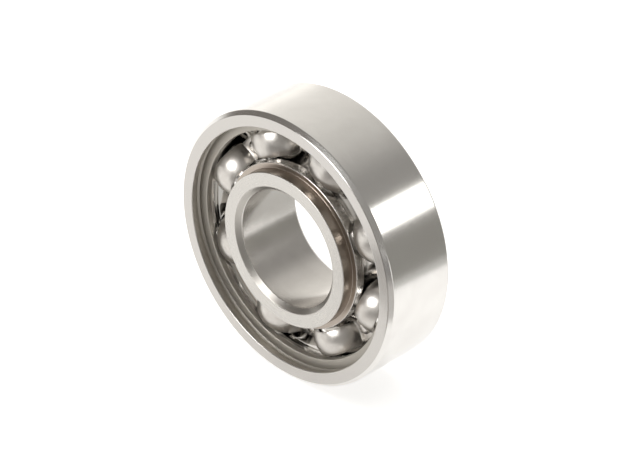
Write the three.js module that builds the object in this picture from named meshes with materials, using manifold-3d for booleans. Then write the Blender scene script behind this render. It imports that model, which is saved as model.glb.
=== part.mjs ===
// Deep groove ball bearing, 12 x 28 x 8 mm: an outer and an inner ring, eight balls, and a cage
// of two pressed steel ribbons riveted together between the balls. Millimetres, +Z up. The
// bearing stands on its rim: its axis is Y, its front face looks along -Y, and the origin is its
// centre. Angles round the axis run from +X towards +Z.

import * as THREE from 'three';
import { mergeVertices } from 'three/addons/utils/BufferGeometryUtils.js';
import Module from 'manifold-3d';

const wasm = await Module();
wasm.setup();

// Boundary dimensions
const BORE = 12;
const OUTSIDE = 28;
const WIDTH = 8;

// Balls and raceways
const BALL = 4.7625;
const BALL_COUNT = 8;
const PITCH = 20;
const FIRST_BALL_ANGLE = 24.5;
const GROOVE_RATIO = 0.52;
const BALL_PLAY = 0.05;

// Outer ring, inside its outside diameter
const OUTER_CHAMFER = 0.5;
const OUTER_FACE = 12.5;
const OUTER_LIP = 12.4;
const LIP_DEPTH = 0.45;
const SEAL_GROOVE = 12.75;
const GROOVE_START = 0.7;
const GROOVE_END = 1.0;
const GROOVE_FOOT = 12.6;
const OUTER_LAND = 11.6;

// Inner ring, outside its bore
const BORE_CHAMFER = 0.6;
const INNER_STEP = 7.9;
const INNER_LAND = 8.46;
const EDGE_BREAK = 0.08;

// Depth of both shoulders beside the raceways, below the faces
const SHOULDER_DEPTH = 1.2;

// Cage and rivets
const RIBBON_INSIDE = 9.0;
const RIBBON_OUTSIDE = 11.1;
const SHEET = 0.45;
const POCKET_PLAY = 0.1;
const SPLIT = 0.01;
const RIVET_HOLE = 0.4;
const RIVET_SHANK = 0.35;
const RIVET_HEAD = 0.65;
const HEAD_HEIGHT = 0.35;
const HEAD_SEAT = SPLIT + SHEET + 0.02;

// Fineness of the surfaces
const RING_SIDES = 56;
const RACEWAY_STEPS = 8;
const CHAMFER_STEPS = 2;
const BALL_SIDES = 14;
const BALL_BANDS = 8;
const POCKET_STEPS = 10;
const RIBBON_STRIPS = 3;
const RIVET_SIDES = 10;
const HOLE_SIDES = 12;
const DOME_STEPS = 3;

const BALL_STEP = (2 * Math.PI) / BALL_COUNT;
const PITCH_RADIUS = PITCH / 2;

function steel(color, roughness) {
  return new THREE.MeshStandardMaterial({ color, roughness, metalness: 1 });
}

const outerSteel = steel(0xb9b6b1, 0.35);
const innerSteel = steel(0xa8a39d, 0.3);
const ballSteel = steel(0xd0d0d0, 0.08);
const cageSteel = steel(0xaaa7a2, 0.4);
const rivetSteel = steel(0x9a9691, 0.4);

// Points along a quarter-round corner, from its first to its last angle about its centre.
function roundCorner(centreRadius, centreDepth, radius, from, to) {
  const points = [];
  for (let i = 0; i <= CHAMFER_STEPS; i += 1) {
    const angle = from + ((to - from) * i) / CHAMFER_STEPS;
    points.push([centreRadius + radius * Math.cos(angle), centreDepth - radius * Math.sin(angle)]);
  }
  return points;
}

// The arc that the balls run in, across one ring: side 1 is the outer ring and -1 the inner.
function raceway(side, land) {
  const arcRadius = GROOVE_RATIO * BALL;
  const bottom = PITCH_RADIUS + side * (BALL / 2 + BALL_PLAY);
  const centre = bottom - side * arcRadius;
  const reach = Math.acos((side * (land - centre)) / arcRadius);
  const points = [];
  for (let i = 0; i <= RACEWAY_STEPS; i += 1) {
    const angle = reach * ((2 * i) / RACEWAY_STEPS - 1);
    points.push([centre + side * arcRadius * Math.cos(angle), WIDTH / 2 + arcRadius * Math.sin(angle)]);
  }
  return points;
}

// A ring turned from its front outline, radii and depths below the front face, and its raceway;
// the rear outline mirrors the front. The flats of the many-sided ring lie at the true radii.
function turnedRing(front, groove) {
  const rear = front.map(([radius, depth]) => [radius, WIDTH - depth]).reverse();
  const corner = 1 / Math.cos(Math.PI / RING_SIDES);
  const outline = [...front, ...groove, ...rear].map(
    ([radius, depth]) => new THREE.Vector2(radius * corner, depth - WIDTH / 2),
  );
  if (THREE.ShapeUtils.area(outline) < 0) outline.reverse();
  outline.push(outline[0].clone());
  return new THREE.LatheGeometry(outline, RING_SIDES, Math.PI / RING_SIDES);
}

function outerRing() {
  const rim = OUTSIDE / 2 - OUTER_CHAMFER;
  const front = [
    ...roundCorner(rim, OUTER_CHAMFER, OUTER_CHAMFER, 0, Math.PI / 2),
    [OUTER_FACE, 0],
    [OUTER_LIP, OUTER_FACE - OUTER_LIP],
    [OUTER_LIP, LIP_DEPTH],
    [SEAL_GROOVE, GROOVE_START],
    [SEAL_GROOVE, GROOVE_END],
    [GROOVE_FOOT, SHOULDER_DEPTH],
    [OUTER_LAND, SHOULDER_DEPTH],
  ];
  return turnedRing(front, raceway(1, OUTER_LAND));
}

function innerRing() {
  const rim = BORE / 2 + BORE_CHAMFER;
  const front = [
    ...roundCorner(rim, BORE_CHAMFER, BORE_CHAMFER, Math.PI, Math.PI / 2),
    [INNER_STEP - EDGE_BREAK, 0],
    [INNER_STEP, EDGE_BREAK],
    [INNER_STEP, SHOULDER_DEPTH],
    [INNER_LAND - EDGE_BREAK, SHOULDER_DEPTH],
    [INNER_LAND, SHOULDER_DEPTH + EDGE_BREAK],
  ];
  return turnedRing(front, raceway(-1, INNER_LAND));
}

// Where one side of the ribbon lies at a radius: the height of its web, the radius of the dome it
// makes over a ball, and the angles and heights of the points from web to web over that ball.
function pocketRow(radius, web, dome) {
  const foot = dome ** 2 - web ** 2;
  const together = 2 * radius * PITCH_RADIUS;
  const squares = radius ** 2 + PITCH_RADIUS ** 2;
  const halfAngle = Math.acos((squares - foot) / together);
  const row = [];
  for (let i = 0; i <= POCKET_STEPS; i += 1) {
    const angle = halfAngle * Math.sin(Math.PI * (i / POCKET_STEPS - 0.5));
    const offset = squares - together * Math.cos(angle);
    row.push([angle, Math.sqrt(Math.max(dome ** 2 - offset, web ** 2))]);
  }
  row.push([BALL_STEP / 2, web]);
  return row;
}

// All the points of one side of the ribbon, row by row from its inside edge to its outside edge.
function ribbonSide(web, dome) {
  const points = [];
  for (let strip = 0; strip <= RIBBON_STRIPS; strip += 1) {
    const radius = THREE.MathUtils.lerp(RIBBON_INSIDE, RIBBON_OUTSIDE, strip / RIBBON_STRIPS);
    const row = pocketRow(radius, web, dome);
    for (let ball = 0; ball < BALL_COUNT; ball += 1) {
      for (const [angle, height] of row) {
        const turn = ball * BALL_STEP + angle;
        points.push(radius * Math.cos(turn), -height, radius * Math.sin(turn));
      }
    }
  }
  return points;
}

// The closed sheet between the two sides, for the half that lies in front of the balls.
function ribbonSheet() {
  const pocket = BALL / 2 + POCKET_PLAY;
  const back = ribbonSide(SPLIT, pocket);
  const front = ribbonSide(SPLIT + SHEET, pocket + SHEET);
  const columns = BALL_COUNT * (POCKET_STEPS + 2);
  const frontStart = back.length / 3;
  const lastRow = RIBBON_STRIPS * columns;
  const index = [];
  const quad = (a, b, c, d) => index.push(a, c, b, a, d, c);
  for (let i = 0; i < columns; i += 1) {
    const next = (i + 1) % columns;
    for (let row = 0; row < lastRow; row += columns) {
      const here = row + i;
      const along = row + next;
      quad(here, here + columns, along + columns, along);
      quad(
        frontStart + along,
        frontStart + along + columns,
        frontStart + here + columns,
        frontStart + here,
      );
    }
    quad(i, next, frontStart + next, frontStart + i);
    quad(frontStart + lastRow + i, frontStart + lastRow + next, lastRow + next, lastRow + i);
  }
  const geometry = new THREE.BufferGeometry();
  geometry.setAttribute('position', new THREE.Float32BufferAttribute([...back, ...front], 3));
  geometry.setIndex(index);
  return geometry;
}

function toSolid(geometry) {
  const bare = geometry.clone().deleteAttribute('normal').deleteAttribute('uv');
  const merged = mergeVertices(bare);
  const mesh = new wasm.Mesh({
    numProp: 3,
    vertProperties: merged.attributes.position.array,
    triVerts: new Uint32Array(merged.index.array),
  });
  return new wasm.Manifold(mesh);
}

function fromSolid(solid) {
  const mesh = solid.getMesh();
  const geometry = new THREE.BufferGeometry();
  geometry.setAttribute('position', new THREE.BufferAttribute(mesh.vertProperties, 3));
  geometry.setIndex(new THREE.BufferAttribute(mesh.triVerts, 1));
  geometry.computeVertexNormals();
  return geometry;
}

// One cage half: the pressed ribbon with a rivet hole through each web.
function cageHalf() {
  let sheet = toSolid(ribbonSheet());
  for (let web = 0; web < BALL_COUNT; web += 1) {
    const hole = new THREE.CylinderGeometry(RIVET_HOLE, RIVET_HOLE, BALL, HOLE_SIDES);
    hole.applyMatrix4(new THREE.Matrix4().setPosition(onPitchCircle(web + 0.5)));
    sheet = sheet.subtract(toSolid(hole));
  }
  return fromSolid(sheet);
}

// A shank with a domed head at each end.
function rivet() {
  const domeRadius = (RIVET_HEAD ** 2 + HEAD_HEIGHT ** 2) / (2 * HEAD_HEIGHT);
  const domeCentre = HEAD_SEAT + HEAD_HEIGHT - domeRadius;
  const reach = Math.asin(RIVET_HEAD / domeRadius);
  const upper = [new THREE.Vector2(RIVET_SHANK, HEAD_SEAT)];
  for (let i = 0; i <= DOME_STEPS; i += 1) {
    const angle = reach * (1 - i / DOME_STEPS);
    upper.push(
      new THREE.Vector2(domeRadius * Math.sin(angle), domeCentre + domeRadius * Math.cos(angle)),
    );
  }
  const lower = upper.map((point) => new THREE.Vector2(point.x, -point.y)).reverse();
  return new THREE.LatheGeometry([...lower, ...upper], RIVET_SIDES);
}

// A place on the pitch circle, counted in balls from the first ball.
function onPitchCircle(balls) {
  const angle = balls * BALL_STEP;
  return new THREE.Vector3(PITCH_RADIUS * Math.cos(angle), 0, PITCH_RADIUS * Math.sin(angle));
}

function piece(name, geometry, material) {
  const mesh = new THREE.Mesh(geometry, material);
  mesh.name = name;
  return mesh;
}

const bearing = new THREE.Group();
bearing.add(piece('outer_ring', outerRing(), outerSteel));
bearing.add(piece('inner_ring', innerRing(), innerSteel));

// What runs between the rings, turned so that the first ball is at its angle.
const runningSet = new THREE.Group();
runningSet.rotation.y = -THREE.MathUtils.degToRad(FIRST_BALL_ANGLE);
bearing.add(runningSet);

// The rear half is the same pressing, turned over about the line through the first ball.
const halfGeometry = cageHalf();
const rearHalf = piece('cage_rear_half', halfGeometry, cageSteel);
rearHalf.rotation.x = Math.PI;
runningSet.add(piece('cage_front_half', halfGeometry, cageSteel), rearHalf);

const ballGeometry = new THREE.SphereGeometry(BALL / 2, BALL_SIDES, BALL_BANDS);
const rivetGeometry = rivet();
for (let i = 0; i < BALL_COUNT; i += 1) {
  const ball = piece(`ball_${i + 1}`, ballGeometry, ballSteel);
  ball.position.copy(onPitchCircle(i));
  const pin = piece(`rivet_${i + 1}`, rivetGeometry, rivetSteel);
  pin.position.copy(onPitchCircle(i + 0.5));
  runningSet.add(ball, pin);
}

export default bearing;
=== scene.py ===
# A deep groove ball bearing, 12 x 28 x 8 mm, standing on its rim: two ground steel rings, eight
# lapped balls, and a cage of two pressed ribbons held together by rivets. Metres, +Z up. The axis
# is Y and the front face looks along -Y; angles round the axis run from +X towards +Z.
import math

import bmesh
import bpy
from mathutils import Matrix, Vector


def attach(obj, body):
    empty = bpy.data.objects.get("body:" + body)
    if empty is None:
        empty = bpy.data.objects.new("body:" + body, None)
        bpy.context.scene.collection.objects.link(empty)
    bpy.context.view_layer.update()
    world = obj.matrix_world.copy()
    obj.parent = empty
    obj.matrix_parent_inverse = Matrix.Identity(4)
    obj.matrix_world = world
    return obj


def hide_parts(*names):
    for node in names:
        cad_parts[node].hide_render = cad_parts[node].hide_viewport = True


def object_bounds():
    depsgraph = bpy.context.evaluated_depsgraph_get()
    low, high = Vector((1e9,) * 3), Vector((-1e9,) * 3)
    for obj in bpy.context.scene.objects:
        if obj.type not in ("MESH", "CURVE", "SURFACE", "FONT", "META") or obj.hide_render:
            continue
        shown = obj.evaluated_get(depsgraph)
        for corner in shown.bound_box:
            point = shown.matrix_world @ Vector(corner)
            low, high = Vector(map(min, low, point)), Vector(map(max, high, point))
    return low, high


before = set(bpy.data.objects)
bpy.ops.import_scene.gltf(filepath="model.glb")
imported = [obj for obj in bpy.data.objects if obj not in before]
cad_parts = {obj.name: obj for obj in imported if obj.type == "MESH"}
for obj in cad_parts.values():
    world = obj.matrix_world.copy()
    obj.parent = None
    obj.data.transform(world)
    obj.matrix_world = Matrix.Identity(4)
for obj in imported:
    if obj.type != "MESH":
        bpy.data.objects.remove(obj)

cad_low, cad_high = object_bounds()

# --- Outer ring ------------------------------------------------------------------------------
# Bearing steel, turned and hardened, then ground on its outside, faces and raceway. The seal
# groove beside each face is left as turned, so it is browner and duller than the ground steel.

MM = 0.001
HALF_WIDTH = cad_high.y
RIM = cad_high.x
BALL_RADIUS = 2.38125 * MM
PITCH_RADIUS = 10 * MM
GROOVE_RADIUS = 0.52 * 2 * BALL_RADIUS
RACEWAY_STEPS = 28
RING_SEGMENTS = 288


def fill_inputs(tree, node, wires):
    """Gives each named input of a node a value, or a wire when it is handed a socket."""
    for name, value in wires.items():
        if isinstance(value, bpy.types.NodeSocket):
            tree.links.new(value, node.inputs[name])
        else:
            node.inputs[name].default_value = value


def add(tree, kind, wires=None, **settings):
    """Adds a node with its settings and inputs, and returns its outputs."""
    node = tree.nodes.new(kind)
    for name, value in settings.items():
        setattr(node, name, value)
    fill_inputs(tree, node, wires or {})
    return node.outputs


def calc(tree, operation, *values, clamp=False):
    """One step of arithmetic on numbers or sockets."""
    return add(tree, "ShaderNodeMath", dict(enumerate(values)), operation=operation, use_clamp=clamp)[0]


def new_tree(name, kind, inputs, outputs):
    """An empty node group with named inputs and outputs, and its input sockets by name."""
    tree = bpy.data.node_groups.new(name, kind)
    for label, socket in inputs.items():
        tree.interface.new_socket(name=label, in_out="INPUT", socket_type=socket)
    for label, socket in outputs.items():
        tree.interface.new_socket(name=label, in_out="OUTPUT", socket_type=socket)
    return tree, tree.nodes.new("NodeGroupInput").outputs


def close_tree(tree, wires):
    """Wires a node group's results to its outputs."""
    fill_inputs(tree, tree.nodes.new("NodeGroupOutput"), wires)
    return tree


def use_group(tree, group, wires):
    """Places a node group in a tree, and returns its outputs."""
    kind = "GeometryNodeGroup" if group.bl_idname == "GeometryNodeTree" else "ShaderNodeGroup"
    node = tree.nodes.new(kind)
    node.node_tree = group
    fill_inputs(tree, node, wires)
    return node.outputs


def turning_tree():
    """Turns an outline, drawn from the turning radius outwards, into a ring about the Y axis."""
    tree, given = new_tree(
        "turned_ring",
        "GeometryNodeTree",
        {
            "Outline": "NodeSocketGeometry",
            "Turning radius": "NodeSocketFloat",
            "Segments": "NodeSocketInt",
            "Steel": "NodeSocketMaterial",
        },
        {"Ring": "NodeSocketGeometry"},
    )
    outline = add(tree, "GeometryNodeMeshToCurve", {"Mesh": given["Outline"]})[0]
    path = add(
        tree,
        "GeometryNodeCurvePrimitiveCircle",
        {"Resolution": given["Segments"], "Radius": given["Turning radius"]},
    )[0]
    swept = add(tree, "GeometryNodeCurveToMesh", {"Curve": path, "Profile Curve": outline})[0]
    upright = add(
        tree, "GeometryNodeTransform", {"Geometry": swept, "Rotation": (math.pi / 2, 0, 0)}
    )[0]
    smooth = add(tree, "GeometryNodeSetShadeSmooth", {"Geometry": upright})[0]
    real = add(tree, "GeometryNodeRealizeInstances", {"Geometry": smooth})[0]
    steel = add(tree, "GeometryNodeSetMaterial", {"Geometry": real, "Material": given["Steel"]})[0]
    return close_tree(tree, {"Ring": steel})


TURNING = turning_tree()


def worked(name, blank, tree, sizes):
    """Runs a tree on a blank mesh and keeps the result as a plain mesh with its faces outwards."""
    blank_object = bpy.data.objects.new(name + "_blank", blank)
    bpy.context.scene.collection.objects.link(blank_object)
    work = blank_object.modifiers.new("Work", "NODES")
    work.node_group = tree
    for socket in tree.interface.items_tree:
        if socket.in_out == "INPUT" and socket.name in sizes:
            work[socket.identifier] = sizes[socket.name]
    graph = bpy.context.evaluated_depsgraph_get()
    mesh = bpy.data.meshes.new_from_object(blank_object.evaluated_get(graph))
    bpy.data.objects.remove(blank_object)
    finish = mesh.materials[-1]
    mesh.materials.clear()
    mesh.materials.append(finish)
    shell = bmesh.new()
    shell.from_mesh(mesh)
    bmesh.ops.remove_doubles(shell, verts=shell.verts, dist=MM / 10000)
    bmesh.ops.recalc_face_normals(shell, faces=shell.faces)
    for face in shell.faces:
        face.material_index = 0
    shell.to_mesh(mesh)
    shell.free()
    mesh.name = name
    piece = bpy.data.objects.new(name, mesh)
    bpy.context.scene.collection.objects.link(piece)
    return piece


def turned_corner(corner, before, after, radius, steps=4, margin=0.04 * MM):
    """Points round one corner of an outline, with a point just beside it on each flat."""
    back = (before - corner).normalized()
    on = (after - corner).normalized()
    half_angle = back.angle(on) / 2
    reach = radius / math.tan(half_angle)
    centre = corner + (back + on).normalized() * radius / math.sin(half_angle)
    start = corner + back * reach - centre
    end = corner + on * reach - centre
    arc = [centre + radius * start.slerp(end, step / steps) for step in range(steps + 1)]
    return [corner + back * (reach + margin), *arc, corner + on * (reach + margin)]


def ring_outline(front, side, land):
    """The whole section of a ring, as points of radius and y: its front corners, the raceway with
    its edges, and the rear corners. Side 1 is the outer ring and -1 the inner ring."""
    centre = PITCH_RADIUS + side * (BALL_RADIUS - GROOVE_RADIUS)
    reach = math.acos(side * (land - centre) / GROOVE_RADIUS)
    groove = []
    for step in range(RACEWAY_STEPS + 1):
        angle = reach * (2 * step / RACEWAY_STEPS - 1)
        across = centre + side * GROOVE_RADIUS * math.cos(angle)
        groove.append((across, GROOVE_RADIUS * math.sin(angle), 0))
    groove[0] = (*groove[0][:2], 0.06 * MM)
    groove[-1] = (*groove[-1][:2], 0.06 * MM)
    rear = [(radius, -y, corner) for radius, y, corner in reversed(front)]
    corners = front + groove + rear
    points = []
    for here, (radius, y, corner) in enumerate(corners):
        place = Vector((radius, y))
        before = Vector(corners[here - 1][:2])
        after = Vector(corners[(here + 1) % len(corners)][:2])
        points += turned_corner(place, before, after, corner) if corner else [place]
    return points


def turned_ring(name, outline, steel):
    """A ring turned from its outline."""
    turning_radius = sum(point.x for point in outline) / len(outline)
    blank = bpy.data.meshes.new(name + "_outline")
    corners = [(point.x - turning_radius, point.y, 0) for point in outline]
    edges = [(i, (i + 1) % len(corners)) for i in range(len(corners))]
    blank.from_pydata(corners, edges, [])
    sizes = {"Turning radius": turning_radius, "Segments": RING_SEGMENTS, "Steel": steel}
    return worked(name, blank, TURNING, sizes)


def band_group():
    """A mask that is 1 where a value lies between two limits and fades out beside them."""
    tree, given = new_tree(
        "band",
        "ShaderNodeTree",
        {
            "Value": "NodeSocketFloat",
            "Low": "NodeSocketFloat",
            "High": "NodeSocketFloat",
            "Fade": "NodeSocketFloat",
        },
        {"Mask": "NodeSocketFloat"},
    )
    above = calc(tree, "SUBTRACT", given["Value"], given["Low"])
    below = calc(tree, "SUBTRACT", given["High"], given["Value"])
    inside = calc(tree, "MINIMUM", above, below)
    faded = calc(tree, "DIVIDE", inside, given["Fade"])
    return close_tree(tree, {"Mask": calc(tree, "ADD", faded, 0.5, clamp=True)})


def wheel_marks_group():
    """Grinding lines that run round the axis: fine and broken up, from a place in millimetres.
    Also gives the radius and the distance from the middle of the width."""
    tree, given = new_tree(
        "wheel_marks",
        "ShaderNodeTree",
        {"Place": "NodeSocketVector", "Lines per mm": "NodeSocketFloat"},
        {"Marks": "NodeSocketFloat", "Radius": "NodeSocketFloat", "Depth": "NodeSocketFloat"},
    )
    place = add(tree, "ShaderNodeSeparateXYZ", {0: given["Place"]})
    flat = add(tree, "ShaderNodeCombineXYZ", {"X": place["X"], "Y": place["Z"]})[0]
    radius = add(tree, "ShaderNodeVectorMath", {0: flat}, operation="LENGTH")["Value"]
    across = calc(tree, "ADD", radius, place["Y"])
    lines = calc(tree, "MULTIPLY", across, given["Lines per mm"])
    along = add(tree, "ShaderNodeVectorMath", {0: flat, "Scale": 0.35}, operation="SCALE")[0]
    run = add(tree, "ShaderNodeSeparateXYZ", {0: along})
    grain = add(tree, "ShaderNodeCombineXYZ", {"X": run["X"], "Y": run["Y"], "Z": lines})[0]
    noise = add(tree, "ShaderNodeTexNoise", {"Vector": grain, "Scale": 1, "Detail": 3})[0]
    depth = calc(tree, "ABSOLUTE", place["Y"])
    return close_tree(tree, {"Marks": noise, "Radius": radius, "Depth": depth})


def handling_group():
    """What handling leaves on steel: cloudy film, and short fine scratches that run all ways."""
    tree, given = new_tree(
        "handling",
        "ShaderNodeTree",
        {"Place": "NodeSocketVector", "Film size": "NodeSocketFloat"},
        {"Film": "NodeSocketFloat", "Scratches": "NodeSocketFloat"},
    )
    size = calc(tree, "DIVIDE", 1, given["Film size"])
    cloud = {"Vector": given["Place"], "Scale": size, "Detail": 4, "Roughness": 0.6, "Distortion": 0.4}
    film = add(tree, "ShaderNodeTexNoise", cloud)[0]
    bent = add(tree, "ShaderNodeTexNoise", {"Vector": given["Place"], "Scale": 0.5})["Color"]
    pushed = add(tree, "ShaderNodeVectorMath", {0: bent, "Scale": 5}, operation="SCALE")[0]
    warped = add(tree, "ShaderNodeVectorMath", {0: given["Place"], 1: pushed}, operation="ADD")[0]
    drawn = add(tree, "ShaderNodeMapping", {"Vector": warped, "Scale": (0.25, 3.0, 0.4)})[0]
    cell = add(tree, "ShaderNodeTexVoronoi", {"Vector": drawn, "Scale": 1.6}, feature="DISTANCE_TO_EDGE")
    line = calc(tree, "DIVIDE", cell["Distance"], 0.03)
    scratches = calc(tree, "SUBTRACT", 1, line, clamp=True)
    return close_tree(tree, {"Film": film, "Scratches": scratches})


BAND = band_group()
WHEEL_MARKS = wheel_marks_group()
HANDLING = handling_group()


def blank_material(name):
    """A new metal with its shader, and places on the piece in millimetres."""
    material = bpy.data.materials.new(name)
    material.use_nodes = True
    tree = material.node_tree
    shader = tree.nodes["Principled BSDF"]
    shader.inputs["Metallic"].default_value = 1
    coordinates = add(tree, "ShaderNodeTexCoord")["Object"]
    wires = {0: coordinates, "Scale": 1 / MM}
    place = add(tree, "ShaderNodeVectorMath", wires, operation="SCALE")[0]
    return material, tree, shader, place


def tint(tree, mask, plain, other):
    """A colour that goes from one steel to another with a mask."""
    wires = {"Factor": mask, 6: (*plain, 1), 7: (*other, 1)}
    return add(tree, "ShaderNodeMix", wires, data_type="RGBA")[2]


def blend_colour(tree, mask, shade, other):
    """A colour socket that goes to another steel with a mask."""
    wires = {"Factor": mask, 6: shade, 7: (*other, 1)}
    return add(tree, "ShaderNodeMix", wires, data_type="RGBA")[2]


def blend_number(tree, mask, plain, other):
    """A number or socket that goes to another with a mask."""
    return add(tree, "ShaderNodeMix", {"Factor": mask, 2: plain, 3: other}, data_type="FLOAT")[0]


def bump(tree, height, distance, strength):
    """A normal raised by a height that is given in millimetres."""
    wires = {"Height": height, "Distance": distance * MM, "Strength": strength}
    return add(tree, "ShaderNodeBump", wires)[0]


def outer_ring_steel():
    """Satin ground steel outside, honed in the raceway, brown and turned in the seal grooves."""
    material, tree, shader, place = blank_material("outer_ring_steel")
    ground = use_group(tree, WHEEL_MARKS, {"Place": place, "Lines per mm": 14})
    handled = use_group(tree, HANDLING, {"Place": place, "Film size": 3.5})
    radius, depth = ground["Radius"], ground["Depth"]
    raceway = use_group(tree, BAND, {"Value": depth, "Low": -1, "High": 1.85, "Fade": 0.06})[0]
    inward = use_group(tree, BAND, {"Value": radius, "Low": 0, "High": 12.85, "Fade": 0.06})[0]
    honed = calc(tree, "MULTIPLY", raceway, inward)
    beside = use_group(tree, BAND, {"Value": depth, "Low": 2.2, "High": 3.93, "Fade": 0.1})[0]
    turned = calc(tree, "MULTIPLY", beside, inward)
    film = calc(tree, "MULTIPLY_ADD", handled["Film"], 1.6, -0.45, clamp=True)
    base = tint(tree, film, (0.73, 0.715, 0.69), (0.66, 0.64, 0.615))
    side = use_group(tree, BAND, {"Value": depth, "Low": 3.96, "High": 5, "Fade": 0.04})[0]
    base = blend_colour(tree, side, base, (0.51, 0.49, 0.465))
    shade = add(
        tree,
        "ShaderNodeMix",
        {"Factor": turned, 6: base, 7: (0.42, 0.395, 0.355, 1)},
        data_type="RGBA",
    )[2]
    tree.links.new(shade, shader.inputs["Base Color"])
    satin = calc(tree, "MULTIPLY_ADD", film, 0.06, 0.13)
    lined = calc(tree, "MULTIPLY_ADD", ground["Marks"], 0.07, satin)
    rough = blend_number(tree, honed, lined, 0.08)
    rough = blend_number(tree, turned, rough, 0.55)
    tree.links.new(rough, shader.inputs["Roughness"])
    scratch = calc(tree, "MULTIPLY", handled["Scratches"], -0.25)
    height = calc(tree, "ADD", ground["Marks"], scratch)
    tree.links.new(bump(tree, height, 0.002, 0.4), shader.inputs["Normal"])
    return material


CHAMFER = 0.4 * MM

outer_front = [
    (RIM, CHAMFER - HALF_WIDTH, 0.15 * MM),
    (RIM - CHAMFER, -HALF_WIDTH, 0.15 * MM),
    (12.45 * MM, -HALF_WIDTH, 0.08 * MM),
    (12.4 * MM, -3.5 * MM, 0.05 * MM),
    (12.76 * MM, -3.28 * MM, 0.05 * MM),
    (12.76 * MM, -3.0 * MM, 0.06 * MM),
    (12.6 * MM, -2.8 * MM, 0.05 * MM),
    (11.6 * MM, -2.8 * MM, 0.08 * MM),
]
outer_ring = turned_ring(
    "outer_ring_ground", ring_outline(outer_front, 1, 11.6 * MM), outer_ring_steel()
)
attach(outer_ring, "outer")
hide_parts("outer_ring")

# --- Inner ring ------------------------------------------------------------------------------
# Bearing steel like the outer ring. Its bore is ground to seat on the shaft and has chamfered
# mouths, and a turned step beside each face leaves room for a seal's lip.

BORE = 6 * MM
BORE_CHAMFER = 0.5 * MM


def inner_ring_steel():
    """Ground face and honed bore and raceway, with the turned steps left brown."""
    material, tree, shader, place = blank_material("inner_ring_steel")
    ground = use_group(tree, WHEEL_MARKS, {"Place": place, "Lines per mm": 16})
    handled = use_group(tree, HANDLING, {"Place": place, "Film size": 2.6})
    radius, depth = ground["Radius"], ground["Depth"]
    raceway = use_group(tree, BAND, {"Value": depth, "Low": -1, "High": 1.85, "Fade": 0.06})[0]
    outward = use_group(tree, BAND, {"Value": radius, "Low": 7.4, "High": 9, "Fade": 0.06})[0]
    in_bore = use_group(tree, BAND, {"Value": radius, "Low": 5, "High": 6.05, "Fade": 0.08})[0]
    honed = calc(tree, "MAXIMUM", calc(tree, "MULTIPLY", raceway, outward), in_bore)
    stepped = use_group(tree, BAND, {"Value": radius, "Low": 7.86, "High": 8.4, "Fade": 0.04})[0]
    beside = use_group(tree, BAND, {"Value": depth, "Low": 2.7, "High": 3.95, "Fade": 0.04})[0]
    turned = calc(tree, "MULTIPLY", beside, stepped)
    film = calc(tree, "MULTIPLY_ADD", handled["Film"], 1.6, -0.45, clamp=True)
    base = tint(tree, film, (0.68, 0.655, 0.625), (0.60, 0.575, 0.545))
    side = use_group(tree, BAND, {"Value": depth, "Low": 3.96, "High": 5, "Fade": 0.04})[0]
    base = blend_colour(tree, side, base, (0.52, 0.50, 0.47))
    mouth = use_group(tree, BAND, {"Value": radius, "Low": 6.06, "High": 6.56, "Fade": 0.06})[0]
    base = blend_colour(tree, mouth, base, (0.42, 0.40, 0.37))
    shade = add(
        tree,
        "ShaderNodeMix",
        {"Factor": turned, 6: base, 7: (0.38, 0.33, 0.285, 1)},
        data_type="RGBA",
    )[2]
    tree.links.new(shade, shader.inputs["Base Color"])
    satin = calc(tree, "MULTIPLY_ADD", film, 0.08, 0.18)
    lined = calc(tree, "MULTIPLY_ADD", ground["Marks"], 0.12, satin)
    rough = blend_number(tree, honed, lined, 0.2)
    rough = blend_number(tree, mouth, rough, 0.32)
    rough = blend_number(tree, turned, rough, 0.28)
    tree.links.new(rough, shader.inputs["Roughness"])
    scratch = calc(tree, "MULTIPLY", handled["Scratches"], -0.25)
    height = calc(tree, "ADD", ground["Marks"], scratch)
    tree.links.new(bump(tree, height, 0.004, 0.5), shader.inputs["Normal"])
    return material


inner_front = [
    (BORE, BORE_CHAMFER - HALF_WIDTH, 0.1 * MM),
    (BORE + BORE_CHAMFER, -HALF_WIDTH, 0.1 * MM),
    (7.9 * MM, -HALF_WIDTH, 0.07 * MM),
    (7.9 * MM, -2.8 * MM, 0.06 * MM),
    (8.46 * MM, -2.8 * MM, 0.08 * MM),
]
inner_ring = turned_ring(
    "inner_ring_ground", ring_outline(inner_front, -1, 8.46 * MM), inner_ring_steel()
)
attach(inner_ring, "inner")
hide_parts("inner_ring")

# --- Balls -----------------------------------------------------------------------------------
# Eight bearing steel balls, 3/16 inch across, lapped to a mirror. They run in the two raceways,
# evenly spaced by the cage.

BALL_COUNT = 8
BALL_STEP = 2 * math.pi / BALL_COUNT
FIRST_BALL = math.radians(24.5)


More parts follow.
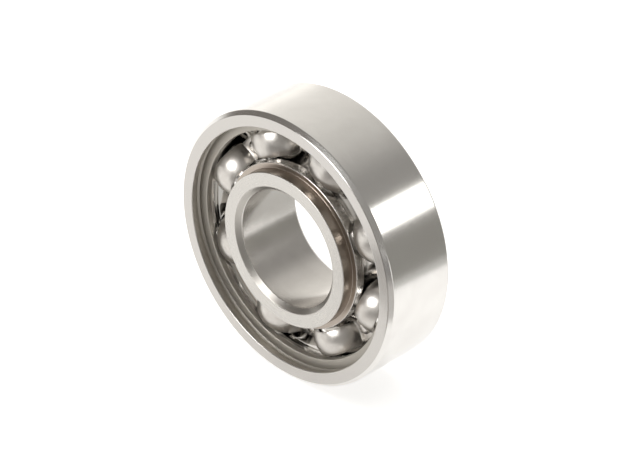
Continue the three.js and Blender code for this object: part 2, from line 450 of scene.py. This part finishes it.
def ball_tree():
    """One finely faceted ball on the pitch circle, at an angle from +X towards +Z."""
    tree, given = new_tree(
        "lapped_ball",
        "GeometryNodeTree",
        {
            "Blank": "NodeSocketGeometry",
            "Radius": "NodeSocketFloat",
            "Pitch radius": "NodeSocketFloat",
            "Angle": "NodeSocketFloat",
            "Steel": "NodeSocketMaterial",
        },
        {"Ball": "NodeSocketGeometry"},
    )
    sphere = {"Radius": given["Radius"], "Subdivisions": 6}
    ball = add(tree, "GeometryNodeMeshIcoSphere", sphere)[0]
    across = calc(tree, "MULTIPLY", calc(tree, "COSINE", given["Angle"]), given["Pitch radius"])
    up = calc(tree, "MULTIPLY", calc(tree, "SINE", given["Angle"]), given["Pitch radius"])
    centre = add(tree, "ShaderNodeCombineXYZ", {"X": across, "Z": up})[0]
    placed = add(tree, "GeometryNodeTransform", {"Geometry": ball, "Translation": centre})[0]
    smooth = add(tree, "GeometryNodeSetShadeSmooth", {"Geometry": placed})[0]
    real = add(tree, "GeometryNodeRealizeInstances", {"Geometry": smooth})[0]
    steel = add(tree, "GeometryNodeSetMaterial", {"Geometry": real, "Material": given["Steel"]})[0]
    return close_tree(tree, {"Ball": steel})


def ball_steel():
    """Mirror steel under a trace of oil film, with hair scratches."""
    material, tree, shader, place = blank_material("ball_steel")
    handled = use_group(tree, HANDLING, {"Place": place, "Film size": 1.2})
    film = calc(tree, "MULTIPLY_ADD", handled["Film"], 1.8, -0.6, clamp=True)
    shade = tint(tree, film, (0.80, 0.79, 0.77), (0.70, 0.68, 0.65))
    tree.links.new(shade, shader.inputs["Base Color"])
    haze = calc(tree, "MULTIPLY_ADD", film, 0.05, 0.05)
    tree.links.new(haze, shader.inputs["Roughness"])
    scratch = calc(tree, "MULTIPLY", handled["Scratches"], -1)
    tree.links.new(bump(tree, scratch, 0.002, 0.2), shader.inputs["Normal"])
    return material


lapped = ball_tree()
mirror_steel = ball_steel()
for number in range(BALL_COUNT):
    name = f"ball_{number + 1}"
    sizes = {
        "Radius": BALL_RADIUS,
        "Pitch radius": PITCH_RADIUS,
        "Angle": FIRST_BALL + number * BALL_STEP,
        "Steel": mirror_steel,
    }
    ball = worked(name + "_lapped", bpy.data.meshes.new(name + "_blank"), lapped, sizes)
    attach(ball, name)
    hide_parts(name)

# --- Cage halves -----------------------------------------------------------------------------
# Two like ribbons pressed from cold-rolled steel strip, 0.45 mm thick. Each has a dome over the
# front or back of every ball and a flat web between, where a rivet joins it to the other half.

SHEET = 0.45 * MM
RIBBON_INSIDE = 9.0 * MM
RIBBON_OUTSIDE = 11.1 * MM
POCKET_RADIUS = 2.48 * MM
WEB = 0.01 * MM
BEND = 0.65 * MM
RIVET_HOLE = 0.4 * MM
ROWS = 12


def pocket_row(radius):
    """Half of a pocket along one radius, from the top of its dome to the middle of the web, as
    angles and heights. A distance across the pocket is turned into an angle about the axis."""
    dome = math.sqrt(POCKET_RADIUS**2 - (radius - PITCH_RADIUS) ** 2)
    bend_up = WEB + BEND
    bend_out = math.sqrt((dome + BEND) ** 2 - bend_up**2)
    meet = math.asin(bend_up / (dome + BEND))
    row = []
    for step in range(15):
        angle = math.pi / 2 + (meet - math.pi / 2) * step / 14
        row.append((dome * math.cos(angle), dome * math.sin(angle)))
    for step in range(1, 7):
        angle = meet + (math.pi / 2 - meet) * step / 6
        row.append((bend_out - BEND * math.cos(angle), bend_up - BEND * math.sin(angle)))
    chord = 2 * math.sqrt(radius * PITCH_RADIUS)
    angles = [(2 * math.asin(across / chord), height) for across, height in row]
    foot = angles[-1][0]
    for step in range(1, 5):
        angles.append((foot + (BALL_STEP / 2 - foot) * step / 4, WEB))
    return angles


def pocket_blank():
    """The side of one pocket that faces its ball, from web to web, centred on +X."""
    rows = []
    for row in range(ROWS + 1):
        radius = RIBBON_INSIDE + (RIBBON_OUTSIDE - RIBBON_INSIDE) * row / ROWS
        half = pocket_row(radius)
        both = [(-angle, height) for angle, height in reversed(half[1:])] + half
        rows.append(
            [(radius * math.cos(a), -height, radius * math.sin(a)) for a, height in both]
        )
    columns = len(rows[0])
    faces = []
    for row in range(ROWS):
        for column in range(columns - 1):
            here = row * columns + column
            faces.append((here, here + columns, here + columns + 1, here + 1))
    mesh = bpy.data.meshes.new("pocket_blank")
    mesh.from_pydata([place for row in rows for place in row], [], faces)
    return mesh


def round_the_axis_group():
    """Repeats a piece at even steps round the Y axis, starting at an angle from +X to +Z."""
    tree, given = new_tree(
        "round_the_axis",
        "GeometryNodeTree",
        {
            "Piece": "NodeSocketGeometry",
            "Count": "NodeSocketInt",
            "First angle": "NodeSocketFloat",
        },
        {"Round": "NodeSocketGeometry"},
    )
    points = add(tree, "GeometryNodePoints", {"Count": given["Count"]})[0]
    index = add(tree, "GeometryNodeInputIndex")[0]
    step = calc(tree, "DIVIDE", 2 * math.pi, given["Count"])
    angle = calc(tree, "MULTIPLY_ADD", index, step, given["First angle"])
    turn = add(tree, "ShaderNodeCombineXYZ", {"Y": calc(tree, "MULTIPLY", angle, -1)})[0]
    wires = {"Points": points, "Instance": given["Piece"], "Rotation": turn}
    ring = add(tree, "GeometryNodeInstanceOnPoints", wires)[0]
    real = add(tree, "GeometryNodeRealizeInstances", {"Geometry": ring})[0]
    return close_tree(tree, {"Round": real})


ROUND_THE_AXIS = round_the_axis_group()


def pressing_tree():
    """Joins pockets into a ribbon, gives it the strip's thickness, and punches the rivet holes."""
    tree, given = new_tree(
        "pressed_ribbon",
        "GeometryNodeTree",
        {
            "Pocket": "NodeSocketGeometry",
            "Pockets": "NodeSocketInt",
            "First angle": "NodeSocketFloat",
            "Turned over": "NodeSocketFloat",
            "Thickness": "NodeSocketFloat",
            "Hole radius": "NodeSocketFloat",
            "Pitch radius": "NodeSocketFloat",
            "Steel": "NodeSocketMaterial",
        },
        {"Ribbon": "NodeSocketGeometry"},
    )
    over = add(tree, "ShaderNodeCombineXYZ", {"X": given["Turned over"]})[0]
    pocket = add(
        tree, "GeometryNodeTransform", {"Geometry": given["Pocket"], "Rotation": over}
    )[0]
    wires = {"Piece": pocket, "Count": given["Pockets"], "First angle": given["First angle"]}
    pockets = use_group(tree, ROUND_THE_AXIS, wires)[0]
    wires = {"Geometry": pockets, "Distance": 0.002 * MM}
    side = add(tree, "GeometryNodeMergeByDistance", wires)[0]
    wires = {"Mesh": side, "Offset Scale": given["Thickness"], "Individual": False}
    raised = add(tree, "GeometryNodeExtrudeMesh", wires, mode="FACES")["Mesh"]
    back = add(tree, "GeometryNodeFlipFaces", {"Mesh": side})[0]
    joined = tree.nodes.new("GeometryNodeJoinGeometry")
    tree.links.new(raised, joined.inputs[0])
    tree.links.new(back, joined.inputs[0])
    wires = {"Geometry": joined.outputs[0], "Distance": 0.002 * MM}
    sheet = add(tree, "GeometryNodeMergeByDistance", wires)[0]
    wires = {"Vertices": 24, "Radius": given["Hole radius"], "Depth": 4 * SHEET}
    punch = add(tree, "GeometryNodeMeshCylinder", wires)[0]
    out = add(tree, "ShaderNodeCombineXYZ", {"X": given["Pitch radius"]})[0]
    wires = {"Geometry": punch, "Translation": out, "Rotation": (math.pi / 2, 0, 0)}
    punch = add(tree, "GeometryNodeTransform", wires)[0]
    half_step = calc(tree, "DIVIDE", math.pi, given["Pockets"])
    between = calc(tree, "ADD", given["First angle"], half_step)
    wires = {"Piece": punch, "Count": given["Pockets"], "First angle": between}
    punches = use_group(tree, ROUND_THE_AXIS, wires)[0]
    punched = add(tree, "GeometryNodeMeshBoolean", {"Mesh 1": sheet}, operation="DIFFERENCE")
    cutter = punched[0].node.inputs["Mesh 2"]
    tree.links.new(punches, cutter)
    smooth = add(tree, "GeometryNodeSetShadeSmooth", {"Geometry": punched[0]})[0]
    real = add(tree, "GeometryNodeRealizeInstances", {"Geometry": smooth})[0]
    steel = add(tree, "GeometryNodeSetMaterial", {"Geometry": real, "Material": given["Steel"]})[0]
    return close_tree(tree, {"Ribbon": steel})


def cage_steel():
    """Tumbled pressed strip: satin and slightly mottled, with drawn streaks over the domes."""
    material, tree, shader, place = blank_material("cage_steel")
    handled = use_group(tree, HANDLING, {"Place": place, "Film size": 0.9})
    rolled = use_group(tree, WHEEL_MARKS, {"Place": place, "Lines per mm": 7})
    film = calc(tree, "MULTIPLY_ADD", handled["Film"], 1.8, -0.55, clamp=True)
    shade = tint(tree, film, (0.60, 0.575, 0.54), (0.48, 0.45, 0.415))
    tree.links.new(shade, shader.inputs["Base Color"])
    satin = calc(tree, "MULTIPLY_ADD", film, 0.12, 0.25)
    rough = calc(tree, "MULTIPLY_ADD", rolled["Marks"], 0.08, satin)
    tree.links.new(rough, shader.inputs["Roughness"])
    peened = add(tree, "ShaderNodeTexNoise", {"Vector": place, "Scale": 2.2, "Detail": 2})[0]
    height = calc(tree, "MULTIPLY_ADD", rolled["Marks"], 0.2, peened)
    tree.links.new(bump(tree, height, 0.02, 0.6), shader.inputs["Normal"])
    return material


pressing = pressing_tree()
strip_steel = cage_steel()
for name, turned_over in (("cage_front_half", 0), ("cage_rear_half", math.pi)):
    sizes = {
        "Pockets": BALL_COUNT,
        "First angle": FIRST_BALL,
        "Turned over": turned_over,
        "Thickness": SHEET,
        "Hole radius": RIVET_HOLE,
        "Pitch radius": PITCH_RADIUS,
        "Steel": strip_steel,
    }
    half = worked(name.replace("half", "ribbon"), pocket_blank(), pressing, sizes)
    edges = half.modifiers.new("Tumbled edges", "BEVEL")
    edges.width = 0.05 * MM
    edges.segments = 2
    edges.limit_method = "ANGLE"
    edges.angle_limit = math.radians(50)
    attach(half, "cage")
    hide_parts(name)

# --- Rivets ----------------------------------------------------------------------------------
# Eight soft steel rivets, one through each pair of webs. They are headed cold on both ends, so
# each head is a low dome a little flattened on top.

RIVET_SHANK = 0.39 * MM
RIVET_HEAD = 0.65 * MM
HEAD_HEIGHT = 0.35 * MM
HEAD_SEAT = WEB + SHEET
RIVET_SIDES = 40


def turned_solid(name, outline):
    """A solid turned about Y from points of radius and y that start and end on the axis."""
    shell = bmesh.new()
    first = shell.verts.new((0, outline[0][1], 0))
    last = shell.verts.new((0, outline[-1][1], 0))
    rings = []
    for radius, y in outline[1:-1]:
        turns = [2 * math.pi * side / RIVET_SIDES for side in range(RIVET_SIDES)]
        rings.append(
            [shell.verts.new((radius * math.cos(t), y, radius * math.sin(t))) for t in turns]
        )
    for side in range(RIVET_SIDES):
        on = (side + 1) % RIVET_SIDES
        shell.faces.new((first, rings[0][side], rings[0][on]))
        shell.faces.new((last, rings[-1][on], rings[-1][side]))
        for low, high in zip(rings, rings[1:]):
            shell.faces.new((low[side], high[side], high[on], low[on]))
    mesh = bpy.data.meshes.new(name)
    shell.to_mesh(mesh)
    shell.free()
    return mesh


def rivet_blank():
    """One rivet on the pitch circle at +X: a shank between two domed heads."""
    upper = [(RIVET_SHANK, HEAD_SEAT)]
    for step in range(11):
        swing = math.pi / 2 * step / 10
        radius = RIVET_HEAD * math.cos(swing) ** 0.8
        upper.append((radius, HEAD_SEAT + HEAD_HEIGHT * (0.12 + 0.88 * math.sin(swing))))
    upper.insert(1, (RIVET_HEAD * 0.97, HEAD_SEAT))
    lower = [(radius, -y) for radius, y in reversed(upper)]
    mesh = turned_solid("rivet_blank", lower + upper)
    for vertex in mesh.vertices:
        vertex.co.x += PITCH_RADIUS
    return mesh


def riveting_tree():
    """Sets one rivet in each web, halfway between the balls."""
    tree, given = new_tree(
        "set_rivets",
        "GeometryNodeTree",
        {
            "Rivet": "NodeSocketGeometry",
            "Rivets": "NodeSocketInt",
            "First angle": "NodeSocketFloat",
            "Steel": "NodeSocketMaterial",
        },
        {"Set rivets": "NodeSocketGeometry"},
    )
    wires = {
        "Piece": given["Rivet"],
        "Count": given["Rivets"],
        "First angle": given["First angle"],
    }
    rivets = use_group(tree, ROUND_THE_AXIS, wires)[0]
    smooth = add(tree, "GeometryNodeSetShadeSmooth", {"Geometry": rivets})[0]
    real = add(tree, "GeometryNodeRealizeInstances", {"Geometry": smooth})[0]
    steel = add(tree, "GeometryNodeSetMaterial", {"Geometry": real, "Material": given["Steel"]})[0]
    return close_tree(tree, {"Set rivets": steel})


def rivet_steel():
    """Cold-headed wire: a duller, darker steel than the strip, with a dimpled head."""
    material, tree, shader, place = blank_material("rivet_steel")
    handled = use_group(tree, HANDLING, {"Place": place, "Film size": 0.5})
    film = calc(tree, "MULTIPLY_ADD", handled["Film"], 1.8, -0.5, clamp=True)
    shade = tint(tree, film, (0.62, 0.60, 0.57), (0.47, 0.44, 0.41))
    tree.links.new(shade, shader.inputs["Base Color"])
    rough = calc(tree, "MULTIPLY_ADD", film, 0.12, 0.22)
    tree.links.new(rough, shader.inputs["Roughness"])
    dimples = add(tree, "ShaderNodeTexNoise", {"Vector": place, "Scale": 5, "Detail": 2})[0]
    tree.links.new(bump(tree, dimples, 0.02, 0.5), shader.inputs["Normal"])
    return material


rivet_sizes = {
    "Rivets": BALL_COUNT,
    "First angle": FIRST_BALL + BALL_STEP / 2,
    "Steel": rivet_steel(),
}
rivets = worked("set_rivets", rivet_blank(), riveting_tree(), rivet_sizes)
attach(rivets, "cage")
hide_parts(*[f"rivet_{number + 1}" for number in range(BALL_COUNT)])

# --- Studio ----------------------------------------------------------------------------------
# A plain pale floor under soft light. Polished steel shows what is round it, so panels that only
# reflections see stand where a product studio has its soft boxes and its dark flags.

FLOOR_REACH = 4.0
FLOOR_TOP = cad_low.z
KEY_STRENGTH = 12.0
DIM_SIDE = 0.36


def floor_paint():
    """Matt white paint on a floor that is lit a little from below."""
    material = bpy.data.materials.new("pale_floor")
    material.use_nodes = True
    shader = material.node_tree.nodes["Principled BSDF"]
    shader.inputs["Base Color"].default_value = (0.92, 0.92, 0.92, 1)
    shader.inputs["Roughness"].default_value = 0.9
    shader.inputs["Emission Color"].default_value = (1, 1, 1, 1)
    shader.inputs["Emission Strength"].default_value = 0.5
    return material


def glow(name, colour, strength):
    """The face of a soft box or a flag: an even glow and nothing else."""
    material = bpy.data.materials.new(name)
    material.use_nodes = True
    tree = material.node_tree
    tree.nodes.clear()
    light = add(tree, "ShaderNodeEmission", {"Color": (*colour, 1), "Strength": strength})[0]
    add(tree, "ShaderNodeOutputMaterial", {"Surface": light})
    return material


def round_glow(name, middle, width, height):
    """The face of a round soft box: bright in the middle, and no brighter than the dim side of
    the room at its rim."""
    material = glow(name, (1, 1, 1), 1)
    tree = material.node_tree
    place = add(tree, "ShaderNodeTexCoord")["Object"]
    wires = {0: place, 1: middle}
    offset = add(tree, "ShaderNodeVectorMath", wires, operation="SUBTRACT")["Vector"]
    wires = {0: offset, 1: (width / 2, width / 2, height / 2)}
    share = add(tree, "ShaderNodeVectorMath", wires, operation="DIVIDE")["Vector"]
    out = add(tree, "ShaderNodeVectorMath", {0: share}, operation="LENGTH")["Value"]
    wires = {"Value": out, 1: 0.6, 2: 1.0, 3: KEY_STRENGTH, 4: DIM_SIDE}
    faded = add(tree, "ShaderNodeMapRange", wires, interpolation_type="SMOOTHSTEP")[0]
    tree.links.new(faded, tree.nodes["Emission"].inputs["Strength"])
    return material


def stage_plane(name, corners, material):
    """A flat four-cornered stage piece."""
    mesh = bpy.data.meshes.new(name)
    mesh.from_pydata(corners, [], [(0, 1, 2, 3)])
    mesh.materials.append(material)
    plane = bpy.data.objects.new(name, mesh)
    bpy.context.scene.collection.objects.link(plane)
    return plane


def panel(name, corners, material):
    """A soft box or a flag that only reflections see."""
    shown = stage_plane(name, corners, material)
    shown.visible_camera = False
    shown.visible_diffuse = False
    shown.visible_shadow = False
    return shown


floor = stage_plane(
    "floor",
    [
        (-FLOOR_REACH, -FLOOR_REACH, FLOOR_TOP),
        (FLOOR_REACH, -FLOOR_REACH, FLOOR_TOP),
        (FLOOR_REACH, FLOOR_REACH, FLOOR_TOP),
        (-FLOOR_REACH, FLOOR_REACH, FLOOR_TOP),
    ],
    floor_paint(),
)

# A long soft box behind and to the right draws one white stripe across the outside of the bearing,
# and a low dark flag under it keeps the steel below the stripe grey. A grey card lies behind the
# bearing, where its bore looks: painted shadow, dimmer than the floor, that stands in for the
# bearing's own shadow on the floor there and is seen only in reflections. The round-cornered key
# light stands in front.
panel(
    "strip_light",
    [
        (0.0255, 0.0055, 0.0112),
        (0.0255, 0.0170, 0.0112),
        (0.0220, 0.0170, 0.0176),
        (0.0220, 0.0055, 0.0176),
    ],
    glow("strip_light_glow", (1, 0.99, 0.96), 3.2),
)
panel(
    "low_flag",
    [
        (0.066, 0.016, FLOOR_TOP),
        (0.026, 0.066, FLOOR_TOP),
        (0.026, 0.066, 0.013),
        (0.066, 0.016, 0.013),
    ],
    glow("low_flag_glow", (1, 0.98, 0.91), 0.33),
)
# Painted shadow: a dim card on the floor behind the bearing, seen only in reflections, in place of the
# bearing's own shadow there.
panel(
    "painted_shadow_card",
    [
        (-0.014, 0.009, FLOOR_TOP + 0.0002),
        (0.008, 0.009, FLOOR_TOP + 0.0002),
        (0.032, 0.030, FLOOR_TOP + 0.0002),
        (-0.014, 0.060, FLOOR_TOP + 0.0002),
    ],
    glow("grey_card_glow", (1, 0.99, 0.95), 0.68),
)
panel(
    "flag_foot",
    [
        (0.054, 0.007, FLOOR_TOP + 0.0004),
        (0.066, 0.016, FLOOR_TOP + 0.0004),
        (0.026, 0.066, FLOOR_TOP + 0.0004),
        (0.014, 0.057, FLOOR_TOP + 0.0004),
    ],
    glow("flag_foot_glow", (1, 0.99, 0.95), 0.6),
)
panel(
    "side_card",
    [
        (-0.010, -0.040, FLOOR_TOP + 0.0002),
        (0.090, -0.040, FLOOR_TOP + 0.0002),
        (0.090, 0.006, FLOOR_TOP + 0.0002),
        (-0.010, -0.022, FLOOR_TOP + 0.0002),
    ],
    glow("side_card_glow", (1, 0.97, 0.94), 0.66),
)
panel(
    "front_card",
    [
        (-0.012, -0.040, FLOOR_TOP + 0.0002),
        (-0.060, -0.400, FLOOR_TOP + 0.0002),
        (0.600, -0.400, FLOOR_TOP + 0.0002),
        (0.090, -0.040, FLOOR_TOP + 0.0002),
    ],
    glow("front_card_glow", (1, 0.97, 0.94), 0.3),
)
panel(
    "front_flag",
    [
        (-0.200, -0.020, 0.005),
        (-0.095, -0.145, 0.010),
        (-0.020, -0.110, 0.180),
        (-0.130, 0.020, 0.160),
    ],
    glow("front_flag_glow", (1, 0.93, 0.86), 0.22),
)
KEY_MIDDLE = Vector((-0.045, -0.245, 0.13))
KEY_WIDTH = 0.20
KEY_HEIGHT = 0.14
key_half = Vector((KEY_WIDTH / 2, 0, 0))
key_rise = Vector((0, 0.015, KEY_HEIGHT / 2))
panel(
    "key_light",
    [
        KEY_MIDDLE - key_half - key_rise,
        KEY_MIDDLE + key_half - key_rise,
        KEY_MIDDLE + key_half + key_rise,
        KEY_MIDDLE - key_half + key_rise,
    ],
    round_glow("key_light_glow", KEY_MIDDLE, KEY_WIDTH, KEY_HEIGHT),
)

world = bpy.data.worlds.new("studio")
world.use_nodes = True
sky = world.node_tree
facing = add(sky, "ShaderNodeTexCoord")["Generated"]
BRIGHT_SIDE = Vector((-0.85, 0.50, 0)).normalized()
wires = {0: facing, 1: BRIGHT_SIDE}
towards = add(sky, "ShaderNodeVectorMath", wires, operation="DOT_PRODUCT")["Value"]
ramp = add(sky, "ShaderNodeValToRGB", {"Fac": towards})
stops = ramp["Color"].node.color_ramp
SKY_GLOW = [
    (0.0, DIM_SIDE),
    (0.17, 0.54),
    (0.30, 0.67),
    (0.50, 0.77),
    (0.73, 0.93),
    (0.90, 1.03),
    (0.955, 1.14),
    (0.99, 1.45),
]
while len(stops.elements) < len(SKY_GLOW):
    stops.elements.new(0.5)
for stop, (place, level) in zip(stops.elements, SKY_GLOW):
    stop.position = place
    stop.color = (level, level * 0.975, level * 0.93, 1)
backdrop = sky.nodes["Background"]
sky.links.new(ramp["Color"], backdrop.inputs["Color"])
bpy.context.scene.world = world

overhead = bpy.data.lights.new("overhead", "AREA")
overhead.shape = "DISK"
overhead.size = 0.9
overhead.energy = 3.0
overhead_object = bpy.data.objects.new("overhead", overhead)
overhead_object.location = (0, -0.1, 0.7)
overhead_object.visible_glossy = False
bpy.context.scene.collection.objects.link(overhead_object)

CAMERA_AZIMUTH = math.radians(44.8)
CAMERA_ELEVATION = math.radians(31.75)
CAMERA_DISTANCE = 23.23
AIM_RIGHT = 0.1956
AIM_UP = 0.1138

back = Vector(
    (
        math.sin(CAMERA_AZIMUTH) * math.cos(CAMERA_ELEVATION),
        -math.cos(CAMERA_AZIMUTH) * math.cos(CAMERA_ELEVATION),
        math.sin(CAMERA_ELEVATION),
    )
)
right = Vector((math.cos(CAMERA_AZIMUTH), math.sin(CAMERA_AZIMUTH), 0))
up = back.cross(right)
lens = bpy.data.cameras.new("camera")
lens.lens = 200
lens.clip_start = 0.001
camera = bpy.data.objects.new("camera", lens)
front_centre = Vector((0, cad_low.y, 0))
camera.location = front_centre + RIM * (CAMERA_DISTANCE * back + AIM_RIGHT * right + AIM_UP * up)
camera.rotation_mode = "QUATERNION"
camera.rotation_quaternion = (-back).to_track_quat("-Z", "Y")
bpy.context.scene.collection.objects.link(camera)
bpy.context.scene.camera = camera
bpy.context.scene.view_settings.view_transform = "Standard"
